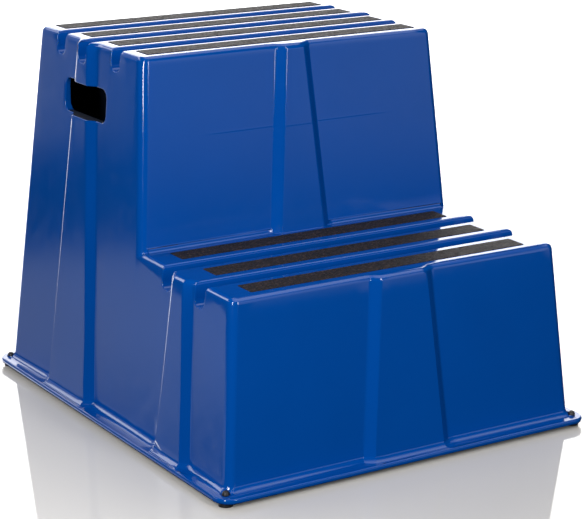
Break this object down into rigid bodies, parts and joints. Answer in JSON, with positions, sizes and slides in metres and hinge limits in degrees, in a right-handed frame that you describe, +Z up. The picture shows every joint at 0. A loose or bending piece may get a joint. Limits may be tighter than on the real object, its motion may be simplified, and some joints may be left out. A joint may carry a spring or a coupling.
{
  "type": "mounting block",
  "caption": "Moulded plastic two-step block for getting onto a horse, with grit strips on its slats, hand holes and rubber feet.",
  "frame": {"origin": "on the floor under the middle of the flange", "axes": "+Z up, the climber stands at -Y and steps up towards +Y, +X is to the climber's right"},
  "size_m": [0.567, 0.652, 0.5],
  "materials": {
    "moulded_blue": "smooth injection-moulded polypropylene, glossy, self-coloured royal blue",
    "grit_strip": "mineral-grit anti-slip tape, coarse and matt, charcoal",
    "black_rubber": "moulded black rubber, satin"
  },
  "bodies": {
    "root": {"shell": "moulded_blue", "platform_strip_1": "grit_strip", "platform_strip_2": "grit_strip", "platform_strip_3": "grit_strip", "platform_strip_4": "grit_strip", "tread_strip_1": "grit_strip", "tread_strip_2": "grit_strip", "tread_strip_3": "grit_strip", "foot_front_left": "black_rubber", "foot_front_right": "black_rubber", "foot_rear_left": "black_rubber", "foot_rear_right": "black_rubber"}
  },
  "joints": []
}
